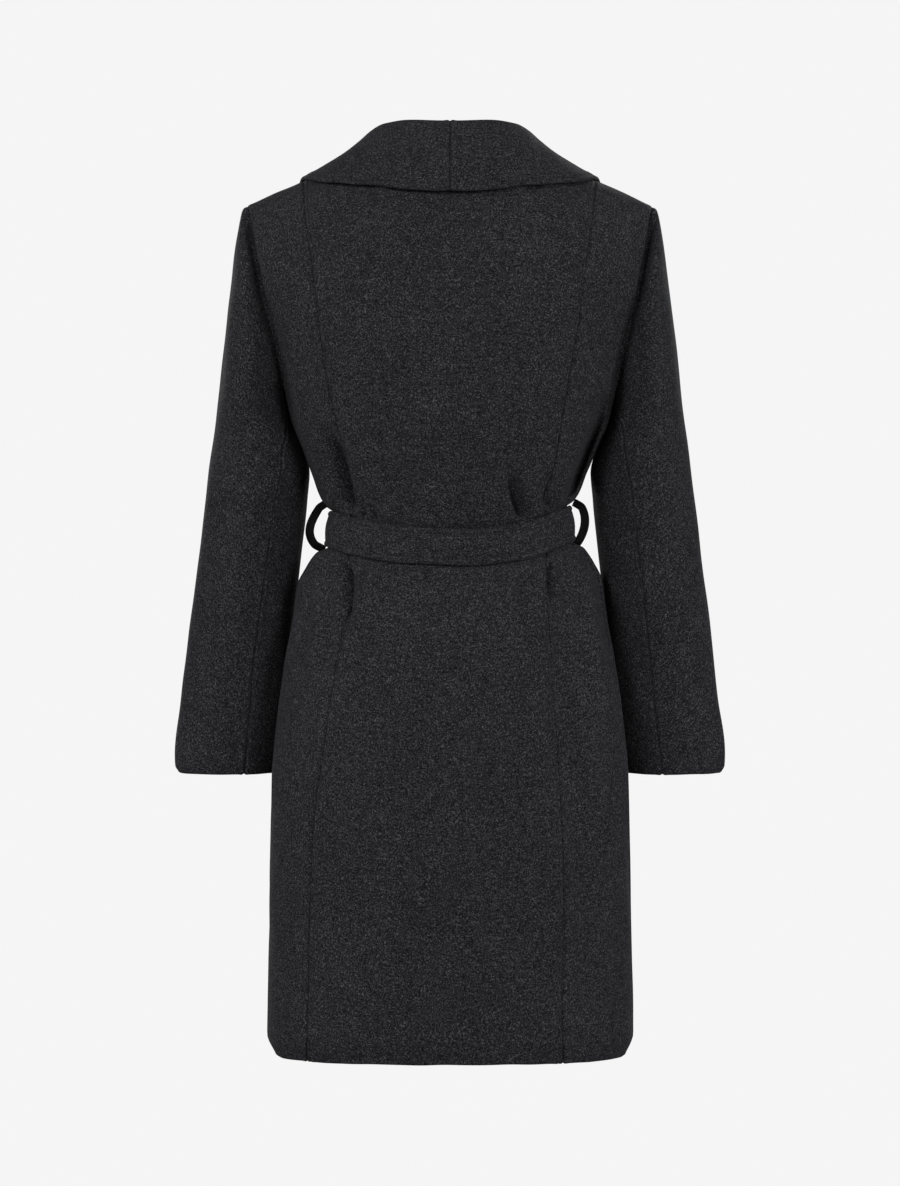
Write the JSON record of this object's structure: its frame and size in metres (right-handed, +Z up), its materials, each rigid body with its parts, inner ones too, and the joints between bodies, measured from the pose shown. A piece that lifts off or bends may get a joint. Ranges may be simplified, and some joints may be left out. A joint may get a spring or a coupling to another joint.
{
  "type": "belted wrap coat",
  "caption": "Knee-length charcoal wool coat in its worn, hollow form, with a shawl collar, princess seams, set-in sleeves and a tie belt through side loops",
  "frame": {"origin": "the centre of the neck, level with the place where the wearer's shoulders carry the coat", "axes": "+Z up the coat, -Y the way the wearer faces, +X the wearer's left"},
  "size_m": [0.5862, 0.2715, 0.9741],
  "materials": {
    "charcoal_wool": "brushed melange coating, matt with a soft nap",
    "black_wool": "folded narrow strip, matt"
  },
  "bodies": {
    "root": {"back_center": "charcoal_wool", "back_side_left": "charcoal_wool", "back_side_right": "charcoal_wool", "front_left": "charcoal_wool", "front_right": "charcoal_wool", "sleeve_top_left": "charcoal_wool", "sleeve_top_right": "charcoal_wool", "sleeve_under_left": "charcoal_wool", "sleeve_under_right": "charcoal_wool", "collar_left": "charcoal_wool", "collar_right": "charcoal_wool", "belt_band": "charcoal_wool", "belt_knot": "charcoal_wool", "belt_tail_left": "charcoal_wool", "belt_tail_right": "charcoal_wool", "belt_loop_left": "black_wool", "belt_loop_right": "black_wool"}
  },
  "joints": []
}
